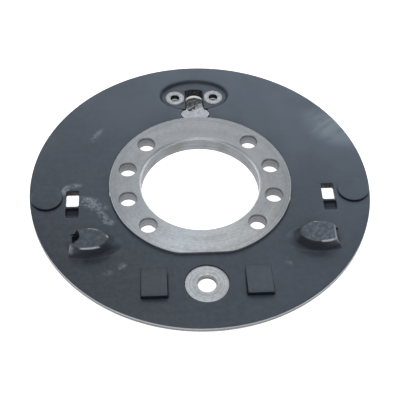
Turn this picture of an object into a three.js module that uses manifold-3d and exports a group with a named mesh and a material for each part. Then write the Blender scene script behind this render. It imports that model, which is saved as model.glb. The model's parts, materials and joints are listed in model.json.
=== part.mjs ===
// Backing plate of an industrial drum brake, lying on its hub spigot.
// Millimetres, +Z up. The origin is on the hub axis, level with the lowest face of the spigot.
// +Y points to the wheel cylinder and -Y to the anchor pin, so +X and -X are the two shoe sides.

import * as THREE from "three";
import { mergeVertices } from "three/addons/utils/BufferGeometryUtils.js";
import Module from "manifold-3d";

const wasm = await Module();
wasm.setup();

// ---------------------------------------------------------------- driving dimensions

const GAP = 0.3; // clearance between two pieces that meet
const PAST = 1; // how far a cutter runs past the face that it opens

// pressed steel disc
const PLATE_RADIUS = 170;
const PLATE_THICKNESS = 6;
const PLATE_BOTTOM = 8;
const PLATE_TOP = PLATE_BOTTOM + PLATE_THICKNESS;
const RIM_CHAMFER = 0.4;
const RIM_BREAK = 0.6;

// machined hub ring
const HUB_RADIUS = 91;
const HUB_FLAT_Y = -87.4; // the flat that clears the anchor seat
const HUB_TOP = PLATE_TOP + 3;
const HUB_BACK = 4.5;
const HUB_EDGE = 1;
const BORE_RADIUS = 59.4;
const BORE_CHAMFER = 1.8;
const SPIGOT_RADIUS = 65;
const BOLT_RADIUS = 8.75;
const BOLT_CIRCLE_RADIUS = 75;
const BOLT_ANGLES = [15, 45, 135, 165, 195, 225, 315, 345]; // degrees from +X

// stitch welds that hold the hub ring in the plate, on the back
const WELD_COUNT = 6;
const WELD_LEG = 3.2;
const WELD_ARC = 22; // degrees

// anchor pin seat
const ANCHOR_Y = -121;
const ANCHOR_SEAT_RADIUS = 21;
const ANCHOR_SEAT_TOP = PLATE_TOP - 1.1;
const ANCHOR_LEDGE = PLATE_BOTTOM + 2;
const ANCHOR_HOLE_RADIUS = 8.9;
const ANCHOR_CHAMFER = 0.8;

// pressed recess for the wheel cylinder
const RECESS_Y = 127;
const RECESS_HALF_X = 37.5;
const RECESS_HALF_Y = 24;
const RECESS_DEPTH = 4;
const RECESS_WALL_RUN = 4;
const RECESS_FLOOR = PLATE_TOP - RECESS_DEPTH;
const BEND_SETBACK = 2.5; // how much smaller a pressing is on the far side of the sheet

// the two machined cylinder seats in it
const SEAT_X = 20.8;
const SEAT_RADIUS = 10.8;
const SEAT_PROUD = 0.2;
const SEAT_LEDGE = RECESS_FLOOR - 2.5;
const SEAT_FLAT_X = 10.7; // each seat is cut off straight beside the port
const SEAT_HOLE_RADIUS = 4.7;
const SEAT_CHAMFER = 0.4;

// port between the seats, and the tongue that is bent down into it
const PORT_HALF_X = 9.8;
const PORT_FAR_Y = 138.2;
const PORT_SHOULDER_Y = 133.6;
const PORT_NOTCH_HALF_X = 13.3;
const PORT_NOTCH_NEAR_Y = 104;
const PORT_NOTCH_FAR_Y = 110.5;
const TONGUE_HALF_X = 9.3;
const TONGUE_FOOT_HALF_X = 11;
const TONGUE_WAIST_HALF_X = 15.7;
const TONGUE_WAIST_Y = 98;
const TONGUE_SHOULDER_Y = 103.4;
const TONGUE_TIP_SHOULDER_Y = 124.8;
const TONGUE_TIP_Y = 129.5;
const TONGUE_THICKNESS = 4;
const TONGUE_TIP_DROP = 6.5;

// pads that the shoe webs rest on
const PAD_X = 152.3;
const PAD_Y = -13.5;
const PAD_RADIUS = 15.5;
const PAD_HEIGHT = 2.3;
const PAD_EDGE = 0.5;

// hold-down slot and the pressed pocket beside it
const SLOT_X = 127.3;
const SLOT_WIDTH = 12.8;
const SLOT_FAR_Y = -4.3;
const SLOT_NEAR_Y = -24.5;
const SLOT_CORNER = 2;
const POCKET_FAR_Y = -26.8;
const POCKET_NEAR_Y = -39.5;
const POCKET_DEPTH = 4.6;
const POCKET_BEND = 1.6; // how much wider a pocket is on the back of the sheet

// hoods over the cable and adjuster openings
const HOOD_X = 111;
const HOOD_Y = -73;
const HOOD_HEIGHT = 11;
const HOOD_WALL = 4.2;
const HOOD_TOP_HALF_X = 18;
const HOOD_TOP_HALF_Y = 12.4;
const HOOD_FOOT_HALF_X = 33;
const HOOD_FOOT_HALF_Y = 16.4;
const HOOD_MOUTH_FOOT_X = 129.8; // the mouth leans back, from here at the sheet
const HOOD_MOUTH_TOP_X = 122.6; // to here at the top
const HOOD_MOUTH_TURN = 4; // degrees that it turns away from the anchor side
const HOOD_SKIRT_X = 123.5; // past this the hood stands on the sheet
const HOOD_HOLLOW_RUN = 5; // how far the hollow runs on past the mouth
const TROUGH_HALF_Y = 9;
const TROUGH_DEEP_X = 129;
const TROUGH_END_X = 137;
const TROUGH_DEPTH = 4.6;
const TROUGH_BEND = 1.6;

// lanced tabs near the anchor
const TAB_INNER_X = 37;
const TAB_OUTER_X = 61;
const TAB_ROOT_Y = -102;
const TAB_BEND_Y = -107;
const TAB_TIP_Y = -136;
const TAB_RISE = 4.2;

// facets
const RIM_SIDES = 144;
const HUB_SIDES = 112;
const HOLE_SIDES = 32;
const OVAL_SIDES = 56;
const HOOD_SIDES = 48;

// ---------------------------------------------------------------- materials

function painted() {
  return new THREE.MeshStandardMaterial({ color: 0x4a525b, roughness: 0.5, metalness: 0.2 });
}

function machined() {
  return new THREE.MeshStandardMaterial({ color: 0xa6aaad, roughness: 0.42, metalness: 0.9 });
}

function weldMetal() {
  return new THREE.MeshStandardMaterial({ color: 0x3f464e, roughness: 0.6, metalness: 0.3 });
}

// ---------------------------------------------------------------- solids and shapes

function solidOf(geometry) {
  const bare = geometry.clone();
  bare.deleteAttribute("normal");
  bare.deleteAttribute("uv");
  const merged = mergeVertices(bare, 1e-4);
  const mesh = new wasm.Mesh({
    numProp: 3,
    vertProperties: merged.attributes.position.array,
    triVerts: new Uint32Array(merged.index.array),
  });
  return new wasm.Manifold(mesh);
}

function geometryOf(solid) {
  const mesh = solid.getMesh();
  const geometry = new THREE.BufferGeometry();
  geometry.setAttribute("position", new THREE.BufferAttribute(mesh.vertProperties, 3));
  geometry.setIndex(new THREE.BufferAttribute(mesh.triVerts, 1));
  return geometry;
}

// A solid of revolution about +Z. The profile is a closed loop of [radius, height] points,
// or runs from the axis back to the axis.
function turned(profile, sides) {
  const points = profile.map(([radius, height]) => new THREE.Vector2(radius, height));
  return new THREE.LatheGeometry(points, sides).rotateX(Math.PI / 2);
}

function cylinder(radius, bottom, top, sides) {
  const height = top - bottom;
  const geometry = new THREE.CylinderGeometry(radius, radius, height, sides);
  return geometry.rotateX(Math.PI / 2).translate(0, 0, bottom + height / 2);
}

// A plan outline, an array of [x, y], as an upright prism.
function prism(outline, bottom, top) {
  const shape = new THREE.Shape(outline.map(([x, y]) => new THREE.Vector2(x, y)));
  const geometry = new THREE.ExtrudeGeometry(shape, { depth: top - bottom, bevelEnabled: false });
  return geometry.translate(0, 0, bottom);
}

// A side profile, an array of [y, z], as a bar that runs along X.
function bar(profile, fromX, toX) {
  const shape = new THREE.Shape(profile.map(([y, z]) => new THREE.Vector2(y, z)));
  const geometry = new THREE.ExtrudeGeometry(shape, { depth: toX - fromX, bevelEnabled: false });
  const axes = new THREE.Matrix4().makeBasis(
    new THREE.Vector3(0, 1, 0),
    new THREE.Vector3(0, 0, 1),
    new THREE.Vector3(1, 0, 0),
  );
  return geometry.applyMatrix4(axes).translate(fromX, 0, 0);
}

// A closed skin over a stack of plan outlines, lowest first, each with as many points as the next.
function loft(layers) {
  const count = layers[0].outline.length;
  const positions = layers.flatMap(({ outline, z }) => outline.flatMap(([x, y]) => [x, y, z]));
  const index = [];
  for (let layer = 0; layer + 1 < layers.length; layer += 1) {
    for (let i = 0; i < count; i += 1) {
      const a = layer * count + i;
      const b = layer * count + ((i + 1) % count);
      index.push(a, b, b + count, a, b + count, a + count);
    }
  }
  const lid = ({ outline }) =>
    THREE.ShapeUtils.triangulateShape(
      outline.map(([x, y]) => new THREE.Vector2(x, y)),
      [],
    );
  const lastStart = (layers.length - 1) * count;
  lid(layers[0]).forEach(([a, b, c]) => index.push(a, c, b));
  lid(layers.at(-1)).forEach(([a, b, c]) => index.push(lastStart + a, lastStart + b, lastStart + c));
  const geometry = new THREE.BufferGeometry();
  geometry.setAttribute("position", new THREE.Float32BufferAttribute(positions, 3));
  geometry.setIndex(index);
  return geometry;
}

function oval(halfX, halfY, x, y, sides) {
  return Array.from({ length: sides }, (_, i) => {
    const angle = (2 * Math.PI * i) / sides;
    return [x + halfX * Math.cos(angle), y + halfY * Math.sin(angle)];
  });
}

function rectangle(fromX, fromY, toX, toY) {
  return [
    [fromX, fromY],
    [toX, fromY],
    [toX, toY],
    [fromX, toY],
  ];
}

function roundedRectangle(fromX, fromY, toX, toY, corner) {
  const shape = new THREE.Shape();
  shape.absarc(toX - corner, fromY + corner, corner, -Math.PI / 2, 0);
  shape.absarc(toX - corner, toY - corner, corner, 0, Math.PI / 2);
  shape.absarc(fromX + corner, toY - corner, corner, Math.PI / 2, Math.PI);
  shape.absarc(fromX + corner, fromY + corner, corner, Math.PI, 1.5 * Math.PI);
  return shape.getPoints(4).map((point) => [point.x, point.y]);
}

// The same geometry on the other side of the X = 0 plane, its faces still pointing out.
function mirrored(geometry) {
  const copy = geometry.clone().scale(-1, 1, 1);
  const indexed = copy.index ? copy : mergeVertices(copy);
  const order = indexed.index.array;
  for (let i = 0; i < order.length; i += 3) {
    [order[i + 1], order[i + 2]] = [order[i + 2], order[i + 1]];
  }
  return indexed;
}

// A cutter for each of the two sides.
function bothSides(geometry) {
  return [solidOf(geometry), solidOf(mirrored(geometry))];
}

function cutAll(solid, cutters) {
  return cutters.reduce((rest, cutter) => rest.subtract(cutter), solid);
}

const object = new THREE.Group();

function place(name, geometry, material) {
  const mesh = new THREE.Mesh(geometry, material);
  mesh.name = name;
  object.add(mesh);
  return mesh;
}

function placePair(name, geometry, makeMaterial) {
  place(`${name}_right`, geometry, makeMaterial());
  place(`${name}_left`, mirrored(geometry), makeMaterial());
}

// ---------------------------------------------------------------- hub ring

// The hub's plan outline, a circle with one flat, grown by a clearance.
function hubBlank(clearance, bottom, top) {
  const round = solidOf(cylinder(HUB_RADIUS + clearance, bottom, top, HUB_SIDES));
  const reach = HUB_RADIUS + PAST;
  const flat = rectangle(-reach, -reach - PAST, reach, HUB_FLAT_Y - clearance);
  return round.subtract(solidOf(prism(flat, bottom - PAST, top + PAST)));
}

function hubRing() {
  const profile = [
    [BORE_RADIUS, RIM_BREAK],
    [BORE_RADIUS + RIM_BREAK, 0],
    [SPIGOT_RADIUS, 0],
    [SPIGOT_RADIUS, HUB_BACK],
    [HUB_RADIUS, HUB_BACK],
    [HUB_RADIUS, HUB_TOP - HUB_EDGE],
    [HUB_RADIUS - HUB_EDGE, HUB_TOP],
    [BORE_RADIUS + BORE_CHAMFER, HUB_TOP],
    [BORE_RADIUS, HUB_TOP - BORE_CHAMFER],
    [BORE_RADIUS, RIM_BREAK],
  ];
  const ring = solidOf(turned(profile, HUB_SIDES)).intersect(hubBlank(0, -PAST, HUB_TOP + PAST));
  const hole = cylinder(BOLT_RADIUS, HUB_BACK - PAST, HUB_TOP + PAST, HOLE_SIDES);
  const holes = BOLT_ANGLES.map((degrees) => {
    const angle = THREE.MathUtils.degToRad(degrees);
    const x = BOLT_CIRCLE_RADIUS * Math.cos(angle);
    const y = BOLT_CIRCLE_RADIUS * Math.sin(angle);
    return solidOf(hole.clone().translate(x, y, 0));
  });
  return cutAll(ring, holes);
}

// A fillet of weld in the corner between the hub ring and the back of the plate.
function stitchWeld() {
  const inner = HUB_RADIUS + GAP;
  const upper = PLATE_BOTTOM - GAP;
  const bulge = 0.62 * WELD_LEG;
  const profile = [
    [inner, upper],
    [inner, upper - WELD_LEG],
    [inner + bulge, upper - bulge],
    [inner + WELD_LEG, upper],
    [inner, upper],
  ];
  const half = THREE.MathUtils.degToRad(WELD_ARC / 2);
  const reach = HUB_RADIUS + 4 * WELD_LEG;
  const wedge = [
    [0, 0],
    [reach * Math.cos(half), -reach * Math.sin(half)],
    [reach * Math.cos(half), reach * Math.sin(half)],
  ];
  return solidOf(turned(profile, HUB_SIDES)).intersect(solidOf(prism(wedge, 0, PLATE_TOP)));
}

// ---------------------------------------------------------------- seats and port

function seatRing(radius, hole, bottom, top, edge, sides) {
  return turned(
    [
      [hole, bottom],
      [radius, bottom],
      [radius, top - edge / 2],
      [radius - edge / 2, top],
      [hole + edge, top],
      [hole, top - edge],
      [hole, bottom],
    ],
    sides,
  );
}

function cylinderSeat() {
  const top = RECESS_FLOOR + SEAT_PROUD;
  const radius = SEAT_RADIUS - GAP;
  const ring = seatRing(radius, SEAT_HOLE_RADIUS, SEAT_LEDGE, top, SEAT_CHAMFER, HOLE_SIDES);
  ring.translate(SEAT_X, RECESS_Y, 0);
  const keep = rectangle(SEAT_FLAT_X, 0, PLATE_RADIUS, PLATE_RADIUS);
  return solidOf(ring).intersect(solidOf(prism(keep, 0, PLATE_TOP)));
}

function recess(shrink, floor, top) {
  const rise = top - floor;
  const slope = RECESS_WALL_RUN / RECESS_DEPTH;
  const halfX = RECESS_HALF_X - shrink - RECESS_WALL_RUN;
  const halfY = RECESS_HALF_Y - shrink - RECESS_WALL_RUN;
  const low = oval(halfX, halfY, 0, RECESS_Y, OVAL_SIDES);
  const high = oval(halfX + rise * slope, halfY + rise * slope, 0, RECESS_Y, OVAL_SIDES);
  return loft([
    { outline: low, z: floor },
    { outline: high, z: top },
  ]);
}

// An outline across the X = 0 plane from its right-hand points, lowest first.
function symmetric(right) {
  const left = right.map(([x, y]) => [-x, y]).reverse();
  return [...right, ...left.filter(([x]) => x < 0)];
}

// The far end of the port and of the tongue is an arc through a shoulder and the tip.
function roundEnd(halfX, shoulderY, tipY) {
  const sagitta = tipY - shoulderY;
  const radius = (halfX * halfX + sagitta * sagitta) / (2 * sagitta);
  const sweep = Math.asin(halfX / radius);
  const steps = 6;
  return Array.from({ length: steps + 1 }, (_, i) => {
    const angle = sweep * (1 - i / steps);
    return [radius * Math.sin(angle), tipY - radius * (1 - Math.cos(angle))];
  });
}

function portOutline() {
  return symmetric([
    [PORT_NOTCH_HALF_X, PORT_NOTCH_NEAR_Y],
    [PORT_NOTCH_HALF_X, PORT_NOTCH_FAR_Y - 2],
    [PORT_HALF_X, PORT_NOTCH_FAR_Y],
    ...roundEnd(PORT_HALF_X, PORT_SHOULDER_Y, PORT_FAR_Y),
  ]);
}

function tongueRootOutline(clearance) {
  return symmetric([
    [TONGUE_FOOT_HALF_X + clearance, HUB_RADIUS - 4],
    [TONGUE_WAIST_HALF_X + clearance, TONGUE_WAIST_Y],
    [PORT_NOTCH_HALF_X + clearance, TONGUE_SHOULDER_Y],
    [PORT_NOTCH_HALF_X + clearance, TONGUE_SHOULDER_Y + GAP + PAST],
  ]);
}

function tongue() {
  const plan = symmetric([
    [TONGUE_FOOT_HALF_X, HUB_RADIUS - 4],
    [TONGUE_WAIST_HALF_X, TONGUE_WAIST_Y],
    [PORT_NOTCH_HALF_X, TONGUE_SHOULDER_Y],
    [TONGUE_HALF_X, TONGUE_SHOULDER_Y + 1.5],
    ...roundEnd(TONGUE_HALF_X, TONGUE_TIP_SHOULDER_Y, TONGUE_TIP_Y),
  ]);
  const tipTop = PLATE_TOP - TONGUE_TIP_DROP;
  const bendY = TONGUE_SHOULDER_Y;
  const side = [
    [HUB_RADIUS - 5, PLATE_TOP - TONGUE_THICKNESS],
    [bendY - 1, PLATE_TOP - TONGUE_THICKNESS],
    [bendY + 6, PLATE_TOP - TONGUE_THICKNESS - 1.2],
    [TONGUE_TIP_Y + PAST, tipTop - TONGUE_THICKNESS],
    [TONGUE_TIP_Y + PAST, tipTop],
    [bendY + 6, PLATE_TOP - 1.2],
    [bendY, PLATE_TOP],
    [HUB_RADIUS - 5, PLATE_TOP],
  ];
  const blank = solidOf(prism(plan, 0, PLATE_TOP + PAST));
  const strip = solidOf(bar(side, -PLATE_RADIUS / 2, PLATE_RADIUS / 2));
  return blank.intersect(strip).subtract(hubBlank(GAP, 0, PLATE_TOP + PAST));
}

// ---------------------------------------------------------------- hoods

// The raised dome. It can be inset for the hollow, which then also runs out past the mouth,
// and it starts below the sheet's top face by the depth of a skirt.
function hoodDome(inset, runOut, skirt, top) {
  const outline = ([halfX, halfY]) =>
    oval(halfX + runOut, halfY, HOOD_X + runOut, HOOD_Y, HOOD_SIDES);
  const foot = [HOOD_FOOT_HALF_X - inset, HOOD_FOOT_HALF_Y - inset];
  const crown = [HOOD_TOP_HALF_X - inset / 2, HOOD_TOP_HALF_Y - inset];
  const waist = [0.46 * foot[0] + 0.54 * crown[0], 0.38 * foot[1] + 0.62 * crown[1]];
  const layers = [
    { outline: outline(foot), z: PLATE_TOP },
    { outline: outline(waist), z: (PLATE_TOP + top) / 2 },
    { outline: outline(crown), z: top },
  ];
  if (skirt > 0) layers.unshift({ outline: outline(foot), z: PLATE_TOP - skirt });
  return solidOf(loft(layers));
}

// The part of the foot that reaches down through the sheet.
function hoodSkirt(clearance, bottom, top) {
  const foot = [HOOD_FOOT_HALF_X + clearance, HOOD_FOOT_HALF_Y + clearance];
  const whole = solidOf(prism(oval(...foot, HOOD_X, HOOD_Y, HOOD_SIDES), bottom, top));
  const keep = rectangle(0, -PLATE_RADIUS, HOOD_SKIRT_X + clearance, 0);
  return whole.intersect(solidOf(prism(keep, bottom - PAST, top + PAST)));
}

// Everything outside the plane of the mouth, whose wall on the anchor side runs further out.
function beyondMouth() {
  const reach = 4 * HOOD_HEIGHT;
  const lean = Math.atan2(HOOD_MOUTH_FOOT_X - HOOD_MOUTH_TOP_X, HOOD_HEIGHT);
  const block = prism(rectangle(0, -reach, reach, reach), -reach, reach);
  block.rotateY(-lean).rotateZ(THREE.MathUtils.degToRad(HOOD_MOUTH_TURN));
  return solidOf(block.translate(HOOD_MOUTH_FOOT_X, HOOD_Y, PLATE_TOP));
}

function hood() {
  const top = PLATE_TOP + HOOD_HEIGHT;
  const dome = hoodDome(0, 0, 0, top).subtract(beyondMouth());
  const outside = dome.add(hoodSkirt(0, PLATE_BOTTOM, PLATE_TOP));
  const skirt = PLATE_THICKNESS + PAST;
  return outside.subtract(hoodDome(HOOD_WALL, HOOD_HOLLOW_RUN, skirt, top - HOOD_WALL));
}

// A trough in the sheet leads a cable in under the mouth.
function trough(grow, top) {
  const halfY = TROUGH_HALF_Y + grow;
  const inner = HOOD_SKIRT_X - PAST;
  const plan = roundedRectangle(inner, HOOD_Y - halfY, TROUGH_END_X + grow, HOOD_Y + halfY, 4);
  const across = [
    [inner, top - TROUGH_DEPTH],
    [TROUGH_DEEP_X + grow, top - TROUGH_DEPTH],
    [TROUGH_END_X + grow, top],
    [TROUGH_END_X + grow, top + PAST / 2],
    [inner, top + PAST / 2],
  ];
  const side = bar(across, -halfY, halfY).rotateZ(-Math.PI / 2);
  side.translate(0, HOOD_Y, 0);
  return solidOf(side).intersect(solidOf(prism(plan, 0, PLATE_TOP + PAST)));
}

// ---------------------------------------------------------------- tabs, pads, pockets

function tab() {
  const profile = [
    [TAB_ROOT_Y, PLATE_BOTTOM],
    [TAB_ROOT_Y, PLATE_TOP],
    [TAB_BEND_Y, PLATE_TOP + 0.35],
    [TAB_TIP_Y, PLATE_TOP + TAB_RISE],
    [TAB_TIP_Y, PLATE_BOTTOM + TAB_RISE],
    [TAB_BEND_Y, PLATE_BOTTOM + 0.35],
  ];
  return bar(profile, TAB_INNER_X, TAB_OUTER_X);
}

function tabWindow() {
  const window = rectangle(
    TAB_INNER_X - GAP,
    TAB_TIP_Y - GAP,
    TAB_OUTER_X + GAP,
    TAB_ROOT_Y + GAP,
  );
  return prism(window, PLATE_BOTTOM - PAST, PLATE_TOP + PAST);
}

function shoePad() {
  const top = PLATE_TOP + PAD_HEIGHT;
  const profile = [
    [0, PLATE_TOP],
    [PAD_RADIUS, PLATE_TOP],
    [PAD_RADIUS, top - PAD_EDGE],
    [PAD_RADIUS - PAD_EDGE, top],
    [0, top],
  ];
  return turned(profile, OVAL_SIDES).translate(PAD_X, PAD_Y, 0);
}

function slotOutline(farY, nearY, grow) {
  const half = SLOT_WIDTH / 2 + grow;
  return roundedRectangle(SLOT_X - half, nearY - grow, SLOT_X + half, farY, SLOT_CORNER);
}

// The pocket slopes up from its far edge to nothing at its near end.
function pocket(grow, drop, top) {
  const plan = prism(slotOutline(POCKET_FAR_Y + grow / 2, POCKET_NEAR_Y, grow), 0, PLATE_TOP + PAST);
  const side = [
    [POCKET_FAR_Y + grow, top - drop],
    [POCKET_FAR_Y + grow, top + PAST / 2],
    [POCKET_NEAR_Y - grow, top + PAST / 2],
    [POCKET_NEAR_Y - grow, top],
  ];
  const slope = bar(side, SLOT_X - SLOT_WIDTH, SLOT_X + SLOT_WIDTH);
  return solidOf(plan).intersect(solidOf(slope));
}

function mirroredSolid(solid) {
  return solidOf(mirrored(geometryOf(solid)));
}

// ---------------------------------------------------------------- backing plate

function disc() {
  const profile = [
    [0, PLATE_BOTTOM],
    [PLATE_RADIUS - RIM_BREAK, PLATE_BOTTOM],
    [PLATE_RADIUS, PLATE_BOTTOM + RIM_BREAK],
    [PLATE_RADIUS, PLATE_TOP - RIM_CHAMFER],
    [PLATE_RADIUS - RIM_CHAMFER, PLATE_TOP],
    [0, PLATE_TOP],
  ];
  return solidOf(turned(profile, RIM_SIDES));
}

function backingPlate() {
  const through = [PLATE_BOTTOM - RECESS_DEPTH - PAST, PLATE_TOP + PAST];
  const hollowBelow = recess(BEND_SETBACK, PLATE_BOTTOM - RECESS_DEPTH, PLATE_BOTTOM + GAP);
  const pocketBelow = pocket(POCKET_BEND, POCKET_DEPTH, PLATE_BOTTOM);
  const troughBelow = trough(TROUGH_BEND, PLATE_BOTTOM);
  const pressed = disc()
    .add(solidOf(hollowBelow))
    .add(pocketBelow)
    .add(mirroredSolid(pocketBelow))
    .add(troughBelow)
    .add(mirroredSolid(troughBelow));

  const anchorSeat = cylinder(ANCHOR_SEAT_RADIUS, ANCHOR_LEDGE, PLATE_TOP + PAST, OVAL_SIDES);
  const anchorHole = cylinder(ANCHOR_HOLE_RADIUS, ...through, HOLE_SIDES);
  const seat = cylinder(SEAT_RADIUS, SEAT_LEDGE, RECESS_FLOOR + PAST, HOLE_SIDES);
  const seatHole = cylinder(SEAT_HOLE_RADIUS, ...through, HOLE_SIDES);
  const slot = prism(slotOutline(SLOT_FAR_Y, SLOT_NEAR_Y, 0), ...through);
  const pocketAbove = pocket(0, POCKET_DEPTH, PLATE_TOP);
  const hoodHole = hoodSkirt(GAP, ...through);
  const troughAbove = trough(0, PLATE_TOP);

  return cutAll(pressed, [
    hubBlank(GAP, ...through),
    solidOf(recess(0, RECESS_FLOOR, PLATE_TOP + GAP)),
    solidOf(anchorSeat.translate(0, ANCHOR_Y, 0)),
    solidOf(anchorHole.translate(0, ANCHOR_Y, 0)),
    ...bothSides(seat.translate(SEAT_X, RECESS_Y, 0)),
    ...bothSides(seatHole.translate(SEAT_X, RECESS_Y, 0)),
    solidOf(prism(portOutline(), ...through)),
    solidOf(prism(tongueRootOutline(GAP), ...through)),
    ...bothSides(slot),
    pocketAbove,
    mirroredSolid(pocketAbove),
    hoodHole,
    mirroredSolid(hoodHole),
    troughAbove,
    mirroredSolid(troughAbove),
    ...bothSides(tabWindow()),
  ]);
}

// ---------------------------------------------------------------- the assembly

place("backing_plate", geometryOf(backingPlate()), painted());
place("hub_flange", geometryOf(hubRing()), machined());

const weldGeometry = geometryOf(stitchWeld());
for (let i = 0; i < WELD_COUNT; i += 1) {
  const weld = place(`hub_weld_${i + 1}`, weldGeometry, weldMetal());
  weld.rotation.z = (2 * Math.PI * i) / WELD_COUNT;
}

const anchorSeat = seatRing(
  ANCHOR_SEAT_RADIUS - GAP,
  ANCHOR_HOLE_RADIUS,
  ANCHOR_LEDGE,
  ANCHOR_SEAT_TOP,
  ANCHOR_CHAMFER,
  OVAL_SIDES,
);
place("anchor_pin_seat", anchorSeat, machined()).position.y = ANCHOR_Y;

placePair("cylinder_seat", geometryOf(cylinderSeat()), machined);
place("port_tongue", geometryOf(tongue()), machined());
placePair("cable_hood", geometryOf(hood()), painted);
placePair("shoe_rest_pad", shoePad(), painted);
placePair("shoe_rest_tab", tab(), painted);

export default object;
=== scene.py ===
import json
import math

import bmesh
import bpy
import numpy as np
from mathutils import Matrix, Vector
from mathutils.geometry import delaunay_2d_cdt


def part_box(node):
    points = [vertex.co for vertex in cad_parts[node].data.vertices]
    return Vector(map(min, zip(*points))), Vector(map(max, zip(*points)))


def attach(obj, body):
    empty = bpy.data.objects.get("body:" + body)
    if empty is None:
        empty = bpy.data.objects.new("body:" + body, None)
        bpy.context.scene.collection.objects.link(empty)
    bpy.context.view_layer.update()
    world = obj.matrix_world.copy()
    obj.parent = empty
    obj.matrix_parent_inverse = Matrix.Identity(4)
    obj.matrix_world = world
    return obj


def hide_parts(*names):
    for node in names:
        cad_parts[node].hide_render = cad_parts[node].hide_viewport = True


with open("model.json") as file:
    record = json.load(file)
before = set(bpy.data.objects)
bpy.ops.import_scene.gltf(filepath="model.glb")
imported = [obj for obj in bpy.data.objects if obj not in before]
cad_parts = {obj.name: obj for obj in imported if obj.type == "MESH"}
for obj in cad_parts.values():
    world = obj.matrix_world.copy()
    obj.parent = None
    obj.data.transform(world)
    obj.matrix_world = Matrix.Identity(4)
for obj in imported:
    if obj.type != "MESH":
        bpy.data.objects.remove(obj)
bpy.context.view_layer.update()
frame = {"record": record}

# A drum brake backing plate. Shapes are worked out in millimetres, then stored in metres.
# +Z is up out of the brake side, +Y points to the wheel cylinder, -Y to the anchor pin.

MM = 0.001
SCENE = bpy.context.scene


def node_mm(name):
    low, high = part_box(name)
    return np.array(low) / MM, np.array(high) / MM


OPENINGS = {
    entry["name"]: np.array(entry["box_m"]) / MM
    for entry in frame["record"]["physics"]["openings"]
}


def opening_centre(name):
    return OPENINGS[name].mean(axis=0)[:2]


# ---- sizes

PLATE_HIGH = node_mm("backing_plate")[1]
HUB_LOW, HUB_HIGH = node_mm("hub_flange")
TAB_LOW, TAB_HIGH = node_mm("shoe_rest_tab_right")
PAD_LOW, PAD_HIGH = node_mm("shoe_rest_pad_right")
ANCHOR_LOW, ANCHOR_HIGH = node_mm("anchor_pin_seat")
SEAT_LOW, SEAT_HIGH = node_mm("cylinder_seat_right")

SHEET = 6.0
FIT_GAP = 0.3
PLATE_TOP = PLATE_HIGH[2]
PLATE_BACK = PLATE_TOP - SHEET
PLATE_RADIUS = PLATE_HIGH[0]
PUNCHED_EDGE = 0.3

HUB_RADIUS = HUB_HIGH[0]
HUB_FLAT_Y = HUB_LOW[1]
HUB_TOP = HUB_HIGH[2]
HUB_BACK = 4.5
BORE_RADIUS = 59.4
SPIGOT_RADIUS = 65.0
BOLT_RADIUS = 8.75
BOLT_HOLES = [opening_centre(f"bolt_hole_{i + 1}") for i in range(8)]
WELDS = 6

ANCHOR_CENTRE = opening_centre("anchor_hole")
ANCHOR_HOLE = 8.9
ANCHOR_SEAT = 21.0
ANCHOR_LEDGE = ANCHOR_LOW[2]

SEAT_CENTRE = opening_centre("cylinder_bolt_hole_right")
RECESS_Y = SEAT_CENTRE[1]
RECESS_HALF = np.array([37.5, 24.0])
RECESS_DEPTH = 4.0
RECESS_RUN = 3.8
RECESS_LIP = 0.9
NEAR_RUN = 4.0
BEND_SETBACK = 2.5
SEAT_RADIUS = 10.8
SEAT_HOLE = 4.7
SEAT_CLIP_X = 10.7
SEAT_LEDGE = SEAT_LOW[2]

PORT_HALF = 9.8
PORT_FAR_Y = 138.2
PORT_SHOULDER_Y = 133.6
PORT_LEAN_UP = 1.6
PORT_LEAN_DOWN = 2.3
PORT_NARROWING = 0.12
TONGUE_NARROWING = 0.08
NOTCH_HALF = 13.3
NOTCH_FAR_Y = 110.5
TONGUE_HALF = 9.3
TONGUE_FOOT = 11.0
TONGUE_WAIST = 15.7
TONGUE_WAIST_Y = 98.0
TONGUE_SHOULDER_Y = 103.4
TONGUE_TIP_Y = node_mm("port_tongue")[1][1]
TONGUE_TIP_SHOULDER_Y = TONGUE_TIP_Y - 4.7
TONGUE_DROP = 6.3
TONGUE_THICKNESS = 4.0

SLOT_CENTRE = opening_centre("hold_down_slot_right")
SLOT_HALF = np.array([6.4, 10.1])
SLOT_CORNER = 2.0
SLOT_LEAN = 1.7
POCKET_FAR_Y = -26.8
POCKET_NEAR_Y = -39.5
POCKET_DEPTH = 4.6

HOOD_CENTRE = np.array([111.0, -73.0])
HOOD_TOP = node_mm("cable_hood_right")[1][2]
HOOD_FOOT = np.array([33.0, 16.4])
HOOD_CROWN = np.array([18.0, 12.4])
HOOD_WALL = 4.2
HOOD_RUN_OUT = 5.0
HOOD_SILL_X = 114.0
MOUTHS = {
    "right": {"foot_x": 131.0, "top_x": 124.4, "bite": None},
    "left": {"foot_x": 129.0, "top_x": 126.8, "bite": (127.6, -69.2, 9.5)},
}
MOUTH_EDGE = 0.7
POCKET_END_X = 126.6
POCKET_HALF_Y = 12.0
SILL_DEPTH = 4.8
DISH_CENTRE_X = 122.0
DISH_HALF = np.array([14.5, 13.0])
DISH_DEPTH = 1.5

PAD_CENTRE = 0.5 * (PAD_LOW + PAD_HIGH)[:2]
PAD_RADIUS = 0.5 * (PAD_HIGH - PAD_LOW)[0]
TAB_OVERLAP = 0.05
TAB_RISE = TAB_HIGH[2] - PLATE_TOP


# numbers of the later materials: of the plate, of the hub and the seats, of the pads and tabs
LAND, FRACTURE, TORN = 1, 2, 3
BORED, BORE_EDGE, OUTER_EDGE = 1, 2, 3
DARK_SIDE = 1
THIN_AREA = 0.001


# ---- plan outlines, anticlockwise

def circle(radius, centre=(0.0, 0.0), count=64):
    angle = np.linspace(0, 2 * math.pi, count, endpoint=False)
    return np.stack([np.cos(angle), np.sin(angle)], axis=1) * radius + np.array(centre)


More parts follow.
